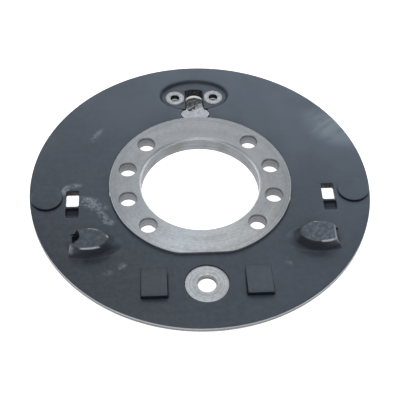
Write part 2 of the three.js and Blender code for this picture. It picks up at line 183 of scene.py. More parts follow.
def bezier(start, control, end, steps):
    start, control, end = (np.array(p, float) for p in (start, control, end))
    t = np.linspace(0, 1, steps)[:, None]
    return (1 - t) ** 2 * start + 2 * t * (1 - t) * control + t * t * end


def filleted(corners, radius, steps=4):
    """Corner points, each replaced by a short arc."""
    corners = np.array(corners, float)
    points = []
    for i, corner in enumerate(corners):
        to_last = corners[i - 1] - corner
        to_next = corners[(i + 1) % len(corners)] - corner
        reach = min(radius, 0.45 * np.linalg.norm(to_last), 0.45 * np.linalg.norm(to_next))
        start = corner + to_last / np.linalg.norm(to_last) * reach
        end = corner + to_next / np.linalg.norm(to_next) * reach
        points.extend(bezier(start, corner, end, steps + 1))
    return np.array(points)


def divided(outline, longest):
    """The same outline with no side longer than a limit."""
    points = []
    for start, end in zip(outline, np.roll(outline, -1, axis=0)):
        parts = max(1, math.ceil(np.linalg.norm(end - start) / longest))
        points += [start + (end - start) * k / parts for k in range(parts)]
    return np.array(points)


def box_outline(low, high, radius, longest):
    (x0, y0), (x1, y1) = low, high
    return divided(filleted([(x0, y0), (x1, y0), (x1, y1), (x0, y1)], radius), longest)


def grown(outline, distance):
    """The outline moved outwards by a distance."""
    back = outline - np.roll(outline, 1, axis=0)
    ahead = np.roll(outline, -1, axis=0) - outline
    back /= np.linalg.norm(back, axis=1, keepdims=True)
    ahead /= np.linalg.norm(ahead, axis=1, keepdims=True)
    normal = np.stack([back[:, 1] + ahead[:, 1], -back[:, 0] - ahead[:, 0]], axis=1)
    normal /= np.linalg.norm(normal, axis=1, keepdims=True)
    cosine = np.clip(normal[:, 0] * ahead[:, 1] - normal[:, 1] * ahead[:, 0], 0.5, 1)
    return outline + normal * (distance / cosine)[:, None]


def mirrored(outline):
    return (outline * [-1, 1])[::-1]


def hub_outline(radius, flat_y):
    """A circle with one flat whose corners are blended."""
    points = circle(radius, count=224)
    rise = points[:, 1] - flat_y
    points[:, 1] = flat_y + 0.5 * (rise + np.sqrt(rise * rise + 1.2))
    return points


def round_end(half, shoulder_y, tip_y, steps=14):
    """An arc over the Y axis, from the right shoulder to the left one."""
    sagitta = tip_y - shoulder_y
    radius = (half * half + sagitta * sagitta) / (2 * sagitta)
    sweep = math.asin(half / radius)
    angle = np.linspace(sweep, -sweep, steps)
    return np.stack([radius * np.sin(angle), tip_y - radius * (1 - np.cos(angle))], axis=1)


def keyhole_outline():
    """The hub's hole in the plate, joined to the tongue's root and the port."""
    radius = HUB_RADIUS + FIT_GAP
    gap = FIT_GAP / 2
    right = [(TONGUE_WAIST + gap, TONGUE_WAIST_Y), (NOTCH_HALF + gap, TONGUE_SHOULDER_Y),
             (NOTCH_HALF, NOTCH_FAR_Y - 2), (PORT_HALF, NOTCH_FAR_Y)]
    left = [(-x, y) for x, y in reversed(right)]
    slope = (TONGUE_WAIST - TONGUE_FOOT) / (TONGUE_WAIST_Y - HUB_RADIUS + 4)
    foot_x = TONGUE_FOOT + gap
    for _ in range(4):
        foot_y = math.sqrt(radius * radius - foot_x * foot_x)
        foot_x = TONGUE_FOOT + gap + slope * (foot_y - HUB_RADIUS + 4)
    start = math.atan2(foot_y, foot_x)
    hub = hub_outline(radius, HUB_FLAT_Y - FIT_GAP)
    angle = np.arctan2(hub[:, 1], hub[:, 0])
    arc = hub[(angle > math.pi - start + 0.02) | (angle < start - 0.02)]
    arc = arc[np.argsort(np.mod(np.arctan2(arc[:, 1], arc[:, 0]) - (math.pi - start), 2 * math.pi))]
    far_end = round_end(PORT_HALF, PORT_SHOULDER_Y, PORT_FAR_Y)
    port = filleted([(foot_x, foot_y), *right, *far_end, *left, (-foot_x, foot_y)], 0.9)[2:-2]
    return divided(np.concatenate([port, arc]), 3.0)


def port_end_moved(outline, distance, squarer, narrowing):
    """The keyhole with its far end moved along Y and made squarer, and the port narrowed."""
    moved = outline.copy()
    x, y = outline.T
    share = smooth((y - PORT_SHOULDER_Y + 6) / 6)
    moved[:, 0] = x * (1 - narrowing * smooth((y - NOTCH_FAR_Y) / 6))
    moved[:, 1] = y + share * (distance + squarer * (PORT_FAR_Y - y))
    return moved


def seat_outline(inset):
    """The right cylinder seat's disc, whose inner side is cut off straight."""
    points = circle(SEAT_RADIUS - inset, SEAT_CENTRE)
    points[:, 0] = np.maximum(points[:, 0], SEAT_CLIP_X - FIT_GAP + inset)
    return points


def hood_hole_outline():
    foot = HOOD_FOOT + FIT_GAP
    limit = HOOD_SILL_X + FIT_GAP
    open_angle = math.acos((limit - HOOD_CENTRE[0]) / foot[0])
    angle = np.linspace(open_angle, 2 * math.pi - open_angle, 48)
    arc = HOOD_CENTRE + foot * np.stack([np.cos(angle), np.sin(angle)], axis=1)
    return divided(arc, 2.0)


# ---- pressed heights

def smooth(value):
    t = np.clip(value, 0, 1)
    return t * t * (3 - 2 * t)


def recess_depth(x, y, shrink):
    half_x, half_y = RECESS_HALF - shrink
    y = y - RECESS_Y
    rho = np.hypot(x / half_x, y / half_y) + 1e-9
    steepness = np.hypot(x / half_x ** 2, y / half_y ** 2) / rho + 1e-9
    inward = (1 - rho) / steepness
    run = RECESS_RUN + NEAR_RUN * smooth(-y / half_y)
    return RECESS_DEPTH * smooth((inward + RECESS_LIP) / (run + RECESS_LIP))


def pocket_depth(x, y, grow):
    side = SLOT_HALF[0] + grow - np.abs(np.abs(x) - SLOT_CENTRE[0])
    from_far = POCKET_FAR_Y + grow * 0.6 - y
    from_near = y - POCKET_NEAR_Y + grow
    ramp = np.clip(from_near / (POCKET_FAR_Y - POCKET_NEAR_Y), 0, 1)
    walls = smooth(side / (1.2 + grow) + 0.15) * smooth(from_far / (0.5 + grow) + 0.1)
    return POCKET_DEPTH * (0.25 * smooth(ramp * 4) + 0.75 * smooth(ramp)) * walls


def sill_depth(x, y, grow):
    """The sheet under a hood's mouth: a pocket inside, and a shallow dish that runs out of it."""
    across = np.abs(x)
    side = np.abs(y - HOOD_CENTRE[1])
    inner = smooth((across - HOOD_SILL_X + 4) / 2)
    pocket = smooth((POCKET_END_X + grow - across) / 2) * smooth((POCKET_HALF_Y + grow - side) / 2)
    reach = np.hypot((across - DISH_CENTRE_X) / DISH_HALF[0], side / DISH_HALF[1])
    dish = smooth((1 - reach) / 0.75)
    return inner * np.maximum(SILL_DEPTH * pocket, DISH_DEPTH * dish)


def pressed(x, y, shrink=0.0, grow=0.0):
    depth = np.maximum(recess_depth(x, y, shrink), pocket_depth(x, y, grow))
    return np.maximum(depth, sill_depth(x, y, grow))


def plate_top(x, y):
    return PLATE_TOP - pressed(x, y)


def plate_back(x, y):
    return PLATE_BACK - pressed(x, y, shrink=BEND_SETBACK, grow=1.4)


# ---- mesh kit

def inside(points, outline):
    x, y = points[:, 0:1], points[:, 1:2]
    x0, y0 = outline.T
    x1, y1 = np.roll(outline, -1, axis=0).T
    crosses = (y0 > y) != (y1 > y)
    run = np.where(y1 == y0, 1e-12, y1 - y0)
    hit = x < x0 + (y - y0) / run * (x1 - x0)
    return (crosses & hit).sum(axis=1) % 2 == 1


def between(points, outer, holes):
    """Which points are inside an outline and in none of its holes."""
    keep = inside(points, outer)
    for hole in holes:
        keep &= ~inside(points, hole)
    return keep


def grid(low, high, step):
    """Points in staggered rows, each with its spacing as a third number."""
    xs = np.arange(low[0], high[0], step)
    rows = []
    for k, y in enumerate(np.arange(low[1], high[1], step)):
        rows.append([(x + 0.5 * step * (k % 2), y, step) for x in xs])
    return np.concatenate(rows)


class Skin:
    """Collects loops and caps in millimetres, and makes one closed mesh of them."""

    def __init__(self):
        self.points = []
        self.faces = []
        self.slots = []
        self.top_holes = []
        self.back_holes = []

    def add(self, points):
        start = len(self.points)
        self.points += [tuple(p) for p in points]
        return start

    def strip(self, loops, slot=0, ends=()):
        """Walls from loop to loop. Each loop is (outline, height or height function)."""
        self.bridge([lifted(outline, height) for outline, height in loops], slot, ends)

    def through(self, *parts):
        """A hole from the top to the back. Each part is (loops, material slot)."""
        for loops, slot in parts:
            self.strip(loops, slot)
        self.top_holes.append(parts[0][0][0][0])
        self.back_holes.append(parts[-1][0][-1][0])

    def bridge(self, rings, slot=0, ends=()):
        """Quads from each ring of points to the next, and a face over each ring named in ends."""
        starts = [self.add(ring) for ring in rings]
        count = len(rings[0])
        for a, b in zip(starts, starts[1:]):
            for i in range(count):
                j = (i + 1) % count
                self.faces.append((a + i, a + j, b + j, b + i))
                self.slots.append(slot)
        for end in ends:
            self.faces.append(tuple(range(starts[end], starts[end] + count)))
            self.slots.append(slot)

    def cap(self, outer, holes, height, extra=None):
        """A face with holes, curved by its height function, with extra points from grid()."""
        loops = [outer, *holes]
        edges = []
        start = 0
        for loop in loops:
            count = len(loop)
            edges += [(start + i, start + (i + 1) % count) for i in range(count)]
            start += count
        points = np.concatenate(loops)
        if extra is not None:
            free, step = extra[:, :2], extra[:, 2]
            keep = between(free, outer, holes)
            for loop in loops:
                keep &= np.linalg.norm(free[:, None] - loop[None], axis=2).min(axis=1) > 0.55 * step
            points = np.concatenate([points, free[keep]])
        made = delaunay_2d_cdt([Vector(p) for p in points], edges, [], 0, 1e-7, False)
        flat = np.array([tuple(v) for v in made[0]])
        triangles = np.array(made[2])
        keep = between(flat[triangles].mean(axis=1), outer, holes)
        settle_thin(flat, triangles, keep)
        base = self.add(lifted(flat, height))
        for triangle in triangles[keep]:
            self.faces.append(tuple(base + int(i) for i in triangle))
            self.slots.append(0)

    def mesh(self, name, sharp=35):
        mesh = bpy.data.meshes.new(name)
        work = bmesh.new()
        corners = [work.verts.new(Vector(p) * MM) for p in self.points]
        for face, slot in zip(self.faces, self.slots):
            try:
                made = work.faces.new([corners[i] for i in face])
            except ValueError:
                continue
            made.material_index = slot
        bmesh.ops.remove_doubles(work, verts=work.verts, dist=1e-6)
        loose = [v for v in work.verts if not v.link_faces]
        bmesh.ops.delete(work, geom=loose, context="VERTS")
        bmesh.ops.recalc_face_normals(work, faces=work.faces)
        work.to_mesh(mesh)
        work.free()
        smooth_shading(mesh, sharp)
        return mesh


def settle_thin(flat, triangles, keep):
    """A triangle with its three corners in line goes with its neighbour over its long side."""
    sides = triangles[:, [[1, 2], [0, 2], [0, 1]]]
    beside = {}
    for index, three in enumerate(sides.tolist()):
        for side in three:
            beside.setdefault(frozenset(side), []).append(index)
    along = flat[sides[:, :, 1]] - flat[sides[:, :, 0]]
    longest = np.linalg.norm(along, axis=2).argmax(axis=1)
    (ux, uy), (vx, vy) = along[:, 1].T, along[:, 2].T
    thin = np.nonzero(np.abs(ux * vy - uy * vx) < THIN_AREA)[0]
    for index in [*thin, *thin, *thin]:
        long_side = frozenset(sides[index, longest[index]].tolist())
        others = [other for other in beside[long_side] if other != index]
        keep[index] = bool(others) and keep[others[0]]


def lifted(outline, height):
    x, y = outline[:, 0], outline[:, 1]
    z = height(x, y) if callable(height) else np.full(len(outline), float(height))
    return np.stack([x, y, z], axis=1)


def smooth_shading(mesh, sharp):
    mesh.polygons.foreach_set("use_smooth", np.ones(len(mesh.polygons), bool))
    mesh.set_sharp_from_angle(angle=math.radians(sharp))
    mesh.update()


def lathe_loops(profile, count, centre=(0.0, 0.0)):
    return [(circle(radius, centre, count), height) for radius, height in profile]


def rounded_edge(outline, out, top, radius, down, steps=3):
    """Loops that roll a face into a wall. out is -1 at an outer edge, and down is -1 at a back."""
    loops = []
    for angle in np.linspace(0, 0.5 * math.pi, steps + 1):
        moved = grown(outline, out * radius * (1 - math.sin(angle)))
        loops.append((moved, shifted(top, -down * radius * (1 - math.cos(angle)))))
    return loops


def shifted(height, amount):
    if callable(height):
        return lambda x, y: height(x, y) + amount
    return height + amount


def placed(name, data):
    obj = bpy.data.objects.new(name, data)
    SCENE.collection.objects.link(obj)
    return obj


def piece(name, mesh, node, materials):
    obj = placed(name, mesh)
    for material in materials:
        mesh.materials.append(material)
    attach(obj, "root")
    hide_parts(node)


def mirror_mesh(mesh, name):
    copy = mesh.copy()
    copy.name = name
    copy.transform(Matrix.Diagonal((-1, 1, 1, 1)))
    copy.flip_normals()
    return copy


def dark_sided(mesh):
    """Gives every face that isn't turned upwards another material, the painted shade."""
    for face in mesh.polygons:
        if face.normal.z < 0.4:
            face.material_index = DARK_SIDE


def pair(base, right, left, materials):
    """The same part on both sides."""
    for node, mesh in ((base + "_right", right), (base + "_left", left)):
        piece(node + "_fine", mesh, node, materials)


# ---- material kit

def linear(red, green, blue):
    """Display values from 0 to 255 as a scene-linear colour."""
    channels = []
    for value in (red / 255, green / 255, blue / 255):
        channels.append(value / 12.92 if value <= 0.04045 else ((value + 0.055) / 1.055) ** 2.4)
    return (*channels, 1.0)


def grey(value):
    return (value, value, value, 1.0)


def metres(*values):
    return tuple(value * MM for value in values)


class Graph:
    """Short calls that add nodes to one material. Centres and sizes of marks are in millimetres."""

    def __init__(self, name):
        self.material = bpy.data.materials.new(name)
        self.material.use_nodes = True
        self.tree = self.material.node_tree
        self.shader = self.tree.nodes["Principled BSDF"]
        self.place = self.add("ShaderNodeTexCoord").outputs["Object"]
        self.x, self.y, self.z = self.add("ShaderNodeSeparateXYZ", self.place).outputs

    def add(self, kind, *values, **settings):
        """A new node with its settings made and its first sockets fed."""
        node = self.tree.nodes.new(kind)
        for key, value in settings.items():
            setattr(node, key, value)
        for socket, value in zip(node.inputs, values):
            self.feed(socket, value)
        return node

    def feed(self, socket, value):
        if isinstance(value, bpy.types.NodeSocket):
            self.tree.links.new(value, socket)
        else:
            socket.default_value = value

    def fill(self, node, values):
        for name, value in values.items():
            if value is not None:
                self.feed(node.inputs[name], value)
        return node

    def math(self, operation, *values, clamp=False):
        return self.add("ShaderNodeMath", *values, operation=operation, use_clamp=clamp).outputs[0]

    def chain(self, operation, first, *others):
        for other in others:
            first = self.math(operation, first, other)
        return first

    def times(self, *values):
        return self.chain("MULTIPLY", *values)

    def plus(self, *values):
        return self.chain("ADD", *values)

    def strongest(self, *masks):
        return self.chain("MAXIMUM", *masks)

    def vector(self, operation, *values):
        node = self.add("ShaderNodeVectorMath", *values, operation=operation)
        return node.outputs["Value" if operation == "LENGTH" else "Vector"]

    def point(self, *values):
        return self.add("ShaderNodeCombineXYZ", *values).outputs[0]

    def ramp(self, value, low, high, out_low=0.0, out_high=1.0):
        values = (value, low, high, out_low, out_high)
        node = self.add("ShaderNodeMapRange", *values, interpolation_type="SMOOTHSTEP")
        return node.outputs["Result"]

    def ramp_mm(self, length, low, high, *out):
        return self.ramp(length, low * MM, high * MM, *out)

    def noise(self, scale, detail=3.0, roughness=0.55, place=None):
        values = {"Scale": scale, "Detail": detail, "Roughness": roughness}
        return self.fill(self.add("ShaderNodeTexNoise", place or self.place), values).outputs["Fac"]

    def mottle(self, size, turn=0, detail=3.0, roughness=0.55):
        """Noise whose spots have this size, turned by some degrees."""
        return self.noise(1.0, detail, roughness, self.stretched((0, 0, 0), turn, size))

    def mix(self, factor, first, second):
        node = self.add("ShaderNodeMix", factor, data_type="RGBA")
        self.feed(node.inputs[6], first)
        self.feed(node.inputs[7], second)
        return node.outputs[2]

    def stretched(self, centre, turn, size):
        """Coordinates centred on a point, turned by some degrees, and divided by a size."""
        turned = (0, 0, math.radians(turn))
        values = (self.place, metres(*centre), turned, metres(*size))
        return self.add("ShaderNodeMapping", *values, vector_type="TEXTURE").outputs[0]

    def blob(self, centre, turn, size):
        """1 at a point, fading to 0 at an ellipsoid round it."""
        return self.ramp(self.vector("LENGTH", self.stretched(centre, turn, size)), 1.0, 0.25)

    def bump(self, height, strength, distance, normal=None):
        values = {"Strength": strength, "Distance": distance, "Height": height, "Normal": normal}
        return self.fill(self.add("ShaderNodeBump"), values).outputs["Normal"]

    def surface(self, color, roughness, normal=None, metallic=0.0, specular=0.5):
        values = {"Base Color": color, "Roughness": roughness, "Metallic": metallic, "Normal": normal}
        self.fill(self.shader, {**values, "Specular IOR Level": specular})
        return self.material


PAINT_NEAR_TONE_AND_SHADE = linear(46, 52, 62)
PAINT_FAR_TONE_AND_SHEEN = linear(99, 111, 125)
PAINT_DARK = linear(44, 51, 61)
PAINT_LIGHT = linear(88, 99, 113)
PAINT_PALE_CLOUD = linear(142, 156, 165)
PAINT_RUBBED = linear(168, 175, 184)
INSIDE_SHADE = linear(22, 22, 21)
PAINT_SHADE_AND_GRIME = linear(26, 29, 35)
PAINT_SHADE_MOTTLE = linear(40, 45, 53)
CUT_SHEET = linear(166, 167, 168)
CROWN_BARE = linear(214, 220, 226)
STEEL = linear(207, 209, 210)
STEEL_COOL = linear(182, 188, 196)
STEEL_WARM = linear(190, 187, 180)
STEEL_DULL_AND_SHADE = linear(140, 142, 145)
STEEL_EDGE_HIGHLIGHT = linear(232, 234, 235)
STEEL_ANCHOR_LIT = linear(220, 222, 224)
WALL_DULL = linear(127, 130, 134)
WALL_BRIGHT = linear(154, 157, 161)
WALL_SHADED = linear(80, 82, 86)
WALL_STAIN = linear(110, 107, 104)
TORN_METAL = linear(66, 64, 64)
TORN_SPECKS = linear(142, 143, 146)
LAND_COLOURS = (linear(172, 174, 176), linear(124, 127, 130))
FRACTURE_COLOURS = (linear(150, 150, 152), linear(122, 120, 119))
RUST = linear(120, 98, 84)
TONGUE_BARE = linear(198, 200, 203)
TONGUE_GRIME = linear(48, 48, 50)
TONGUE_FLECKS = linear(170, 172, 174)

# places where the plate's paint is rubbed: centre, turn in degrees, half sizes, strength
SCUFFS = [
    ((-135, -4, 14), 58, (12, 5, 6), 1.0),
    ((-127, 1.5, 14), 8, (12, 4.2, 6), 1.0),
    ((-113, -19, 14), -8, (16, 8.5, 6), 1.0),
    ((-104, -25, 14), -15, (16, 8.0, 6), 1.0),
    ((-97, -37, 14), -50, (12, 5.0, 6), 1.0),
    ((-92, -45, 14), -20, (9, 5.0, 6), 1.1),
    ((-105, 70, 14), 55, (16, 5.0, 6), 0.6),
    ((-79, -99, 14), 35, (8, 4.5, 6), 0.5),
    ((-91, -106, 14), 10, (8, 4.0, 6), 0.4),
    ((78, -99, 14), -60, (9, 4.0, 6), 0.35),
]

# places where a hood is worn to bare metal along its crown, with the same four entries
CROWN_WEAR = [
    ((-108, -84, 24), 0, (15, 7, 5), 1.0),
    ((-103, -61, 24), 0, (13, 6, 5), 0.75),
    ((-90, -69, 24), 0, (6, 7, 5), 0.9),
    ((116, -84, 24), 0, (12, 7, 5), 0.9),
    ((125, -76, 24), 0, (6, 13, 6), 0.9),
    ((108, -60, 24), 0, (10, 5, 5), 0.75),
]


def marked(g, places):
    """The strongest mark that any of some places leaves on the surface."""
    return g.strongest(*(g.times(g.blob(*ellipsoid), strength) for *ellipsoid, strength in places))


def slate(g):
    """Dark slate paint, a little paler to the far right, part tone and part painted sheen, with a faint
    mottle and one paler cloudy patch.
    """
    far = g.ramp_mm(g.y, -150, 165)
    right = g.ramp_mm(g.x, -165, 165)
    # Painted sheen: paler to the far right, partly the paint's own tone, partly standing in for the
    # backdrop's reflection.
    color = g.mix(g.plus(g.times(far, 0.58), g.times(right, 0.42)), PAINT_NEAR_TONE_AND_SHADE, PAINT_FAR_TONE_AND_SHEEN)
    color = g.mix(g.ramp(g.noise(14), 0.35, 0.7, 0.0, 0.35), color, PAINT_DARK)
    color = g.mix(g.ramp(g.noise(150, 5, 0.7), 0.35, 0.75, 0.0, 0.3), color, PAINT_LIGHT)
    cloud = g.ramp(g.mottle((26, 9, 20), 35, 4), 0.3, 0.65, 0.35, 0.8)
    return g.mix(g.times(g.blob((146, 72, 14), -35, (48, 30, 20)), cloud), color, PAINT_PALE_CLOUD)


def paint_skin(g, rubbed):
    """Orange peel and slow waves under the gloss."""
    normal = g.bump(g.noise(700, 2), 0.12, 0.0002)
    normal = g.bump(g.noise(22, 1), 0.10, 0.0015, normal)
    return g.bump(rubbed, 0.15, 0.0002, normal)


def gap_shade(g):
    """Painted shade in the gap under the near side of each pad and along the sides of each tab."""
    across = g.math("ABSOLUTE", g.x)
    pad_x, pad_y = PAD_CENTRE
    from_pad = g.vector("SUBTRACT", g.point(across, g.y), metres(pad_x, pad_y, 0))
    ring = g.ramp_mm(g.vector("LENGTH", from_pad), PAD_RADIUS + 1.3, PAD_RADIUS + 0.6)
    under_pad = g.times(ring, g.ramp_mm(g.y, pad_y - 2, pad_y - 8))

    def side_line(gap, wide, narrow, start, end):
        """A line that begins some way along a tab and follows one of its sides."""
        line = g.times(g.ramp_mm(gap, wide, narrow), g.ramp_mm(g.y, start, end))
        return g.times(line, g.ramp_mm(gap, -1.0, -0.5))

    inner = side_line(g.math("SUBTRACT", TAB_LOW[0] * MM, across), 1.9, 1.3, -103, -112)
    outer = side_line(g.math("SUBTRACT", across, TAB_HIGH[0] * MM), 1.4, 0.9, -118, -130)
    beside_tab = g.times(g.strongest(inner, outer), g.ramp_mm(g.y, -137.0, -136.4))
    on_sheet = g.ramp_mm(g.z, PLATE_TOP + 0.4, PLATE_TOP + 0.1)
    return g.times(g.strongest(under_pad, beside_tab), on_sheet, 0.9)


def sheet_paint():
    """Paint on the plate: painted shade on the pressed walls and in the gaps at the pads and tabs, grimy
    in the recess, rubbed in patches.
    """
    g = Graph("slate_paint")
    clouds = g.ramp(g.mottle((8.0, 6.0, 6.0), 20, 3, 0.5), 0.36, 0.62, 0.0, 0.55)
    flecks = g.ramp(g.mottle((2.8, 2.4, 3.0), 28, 3, 0.6), 0.46, 0.64, 0.0, 0.75)
    rubbed = g.math("MULTIPLY", marked(g, SCUFFS), g.plus(clouds, flecks), clamp=True)
    below_top = g.ramp_mm(g.z, PLATE_TOP - 0.1, PLATE_TOP - 1.6)
    above_bottom = g.ramp_mm(g.z, PLATE_TOP - 4.1, PLATE_TOP - 3.0, 0.25, 1.0)
    grime = g.ramp(g.mottle((4.0, 4.0, 4.0), 0, 5, 0.75), 0.42, 0.62, 0.0, 0.9)
    in_recess = g.blob((0, 124, 10), 0, (46, 24, 8))
    # Painted shade on the pressed walls and in the gaps at the pads and tabs, with mottled grime in the
    # recess.
    dark = g.strongest(g.times(below_top, above_bottom, 0.75), g.times(grime, in_recess), gap_shade(g))
    color = g.mix(dark, slate(g), PAINT_SHADE_AND_GRIME)
    color = g.mix(g.times(rubbed, 0.7), color, PAINT_RUBBED)
    gloss = g.ramp(g.noise(9, 2), 0.3, 0.7, 0.36, 0.44)
    return g.surface(color, g.plus(gloss, g.times(rubbed, 0.15)), paint_skin(g, rubbed))


def hood_paint():
    """The same paint, with painted shade on the steep walls and inside the hood, bare on the cut mouth
    and worn along the crown.
    """
    g = Graph("hood_slate_paint")
    across = g.math("ABSOLUTE", g.x)
    normal = g.add("ShaderNodeTexCoord").outputs["Normal"]
    facing_x, _, facing_z = g.add("ShaderNodeSeparateXYZ", normal).outputs
    grain = g.noise(240, 5, 0.7)

    dust = g.ramp(g.mottle((4.5, 3.2, 3.0), 55, 5, 0.7), 0.35, 0.75, 0.0, 0.33)
    on_roof = g.ramp_mm(g.z, HOOD_TOP - 1.5, HOOD_TOP - 0.2)
    color = g.mix(g.times(dust, on_roof, g.ramp_mm(g.x, 0, 60, 0.6, 1.0)), slate(g), PAINT_RUBBED)

    # Painted shade on the hood's steep walls above the foot, lighter on the left hood.
    steep = g.ramp(facing_z, 0.86, 0.6)
    above_foot = g.ramp_mm(g.z, PLATE_TOP + 0.2, PLATE_TOP + 1.5, 0.4, 0.75)
    darkest_right = g.ramp_mm(g.x, -10, 10, 0.5, 1.0)
    color = g.mix(g.times(steep, above_foot, darkest_right), color, PAINT_SHADE_AND_GRIME)

    leaning = g.times(g.ramp(facing_z, 0.25, 0.55), g.ramp(facing_z, 0.999, 0.985))
    raised = g.ramp_mm(g.z, HOOD_TOP - 3.2, HOOD_TOP - 1.4)
    chips = g.mottle((4.5, 3.0, 4.0), 15, 3, 0.6)
    worn = g.ramp(g.plus(g.times(marked(g, CROWN_WEAR), 0.62), chips), 0.76, 1.06)
    edge = g.times(leaning, raised, worn)
    color = g.mix(g.times(edge, 0.9), color, CROWN_BARE)

    outward = g.ramp(g.math("ABSOLUTE", facing_x), 0.35, 0.6)
    at_mouth = g.times(g.ramp_mm(across, 117, 119), g.ramp_mm(g.z, PLATE_TOP - 0.5, PLATE_TOP + 1.5))
    right_or_near = g.strongest(g.ramp_mm(g.x, -1, 1), g.ramp_mm(g.y, -72, -75))
    cut = g.times(outward, at_mouth, right_or_near, g.ramp(grain, 0.3, 0.65, 0.35, 0.9))
    color = g.mix(cut, color, CUT_SHEET)
    corner = g.times(g.blob((-127, -79.5, 18), 0, (6.5, 9, 8)), g.ramp_mm(g.z, 14, 19.5, 0.4, 1.0))
    color = g.mix(g.times(corner, g.ramp(grain, 0.3, 0.65, 0.4, 0.95)), color, CUT_SHEET)

    # Painted shade: near-black inside the hood's hollow and mouth.
    inner = g.vector("SUBTRACT", g.point(across, g.y, g.z), metres(114, -71.5, 14))
    inner = g.vector("DIVIDE", inner, metres(22, 14, 8))
    hollow = g.ramp(g.vector("LENGTH", inner), 1.0, 0.75)
    color = g.mix(hollow, color, INSIDE_SHADE)
    roughness = g.plus(g.ramp(grain, 0.3, 0.7, 0.36, 0.46), g.times(hollow, 0.3))
    return g.surface(color, roughness, paint_skin(g, edge))


def shaded_paint():
    """Painted shade on the low side walls of the pads and tabs, mottled."""
    g = Graph("painted_shade_sides")
    grain = g.noise(260, 4)
    color = g.mix(g.ramp(grain, 0.3, 0.7), PAINT_SHADE_AND_GRIME, PAINT_SHADE_MOTTLE)
    return g.surface(color, g.ramp(grain, 0.3, 0.7, 0.4, 0.55), g.bump(grain, 0.2, 0.0002))


def from_centre(g, centre=(0.0, 0.0)):
    """The distance from an upright line."""
    offset = g.vector("SUBTRACT", g.place, metres(*centre, 0.0))
    return g.vector("LENGTH", g.vector("MULTIPLY", offset, (1.0, 1.0, 0.0)))


def turned_steel(name, centre, pitch, grain, shade_far=0.0, base=STEEL):
    """Machined steel with rings of tool marks round a centre."""
    g = Graph(name)
    along = g.point(from_centre(g, centre))
    rings = g.noise(pitch, 4, 0.7, along)
    broad_rings = g.noise(pitch * 0.16, 2, place=along)
    stain = g.noise(26, 4, 0.6)
    pitting = g.noise(330, 5, 0.8)
    color = g.mix(g.ramp(g.noise(17), 0.35, 0.65), STEEL_COOL, STEEL_WARM)
    color = g.mix(0.55, color, base)
    tool_marks = g.plus(g.times(rings, 0.35), g.times(broad_rings, 0.2))
    shade = g.plus(tool_marks, g.times(stain, 0.15), g.times(pitting, 0.3))
    color = g.mix(g.ramp(shade, 0.43, 0.6, 0.0, grain), color, STEEL_DULL_AND_SHADE)
    # Painted shade: all but the near part of the face is darkened when shade_far is given.
    if shade_far:
        color = g.mix(g.ramp_mm(g.y, -82, -25, 0.0, shade_far), color, STEEL_DULL_AND_SHADE)
    normal = g.bump(rings, 0.25, 0.00008)
    normal = g.bump(pitting, 0.2, 0.0002, normal)
    normal = g.bump(stain, 0.12, 0.0008, normal)
    return g.surface(color, g.ramp(shade, 0.35, 0.7, 0.40, 0.56), normal, metallic=1.0)


def edge_highlight_steel(name, metallic):
    """Broken edges, with a painted highlight: steel lighter than the turned faces."""
    g = Graph(name)
    grain = g.noise(260, 4, 0.7)
    color = g.mix(g.ramp(grain, 0.4, 0.7, 0.0, 0.5), STEEL_EDGE_HIGHLIGHT, STEEL)
    return g.surface(color, g.ramp(grain, 0.3, 0.7, 0.34, 0.44), g.bump(grain, 0.2, 0.0001), metallic)


def wall_steel():
    """Bored walls: duller than the turned faces, ringed, and shaded at the bolt holes' lips."""
    g = Graph("bored_wall")
    rings = g.noise(430, 3, 0.6, g.point(g.z))
    color = g.mix(g.ramp(rings, 0.38, 0.6), WALL_DULL, WALL_BRIGHT)
    outside_bore = g.ramp_mm(from_centre(g), 60, 64)
    lip = g.times(g.ramp_mm(g.z, HUB_TOP - 3.0, HUB_TOP - 1.2), outside_bore, 0.85)
    color = g.mix(lip, color, WALL_SHADED)
    color = g.mix(g.ramp(g.noise(45, 4), 0.4, 0.7, 0.0, 0.5), color, WALL_STAIN)
    return g.surface(color, 0.5, g.bump(rings, 0.3, 0.0001), metallic=0.7)


def punched_wall():
    """The torn wall of a punched hole with bright specks, near-black in part as painted shade down the
    hole.
    """
    g = Graph("punched_wall")
    tears = g.noise(330, 6, 0.8)
    # Painted shade: the torn metal is mixed with near-black.
    color = g.mix(g.ramp(tears, 0.42, 0.6), INSIDE_SHADE, TORN_METAL)
    specks = g.ramp(g.mottle((2.2, 2.2, 2.2), 0, 5, 0.8), 0.52, 0.68)
    return g.surface(g.mix(specks, color, TORN_SPECKS), 0.55, g.bump(tears, 0.6, 0.0006), metallic=0.3)


def rim_steel(name, colours, smoothest):
    """The blanked edge of the disc, with a thin film of rust in places."""
    g = Graph(name)
    grain = g.noise(500)
    rust = g.ramp(g.noise(34, 5, 0.7), 0.55, 0.78)
    color = g.mix(g.ramp(g.mottle((60, 60, 0.5)), 0.35, 0.65), *colours)
    color = g.mix(g.times(rust, 0.35), color, RUST)
    roughness = g.ramp(grain, 0.3, 0.7, smoothest, smoothest + 0.15)
    return g.surface(color, roughness, g.bump(grain, 0.3, 0.0001), metallic=0.95)


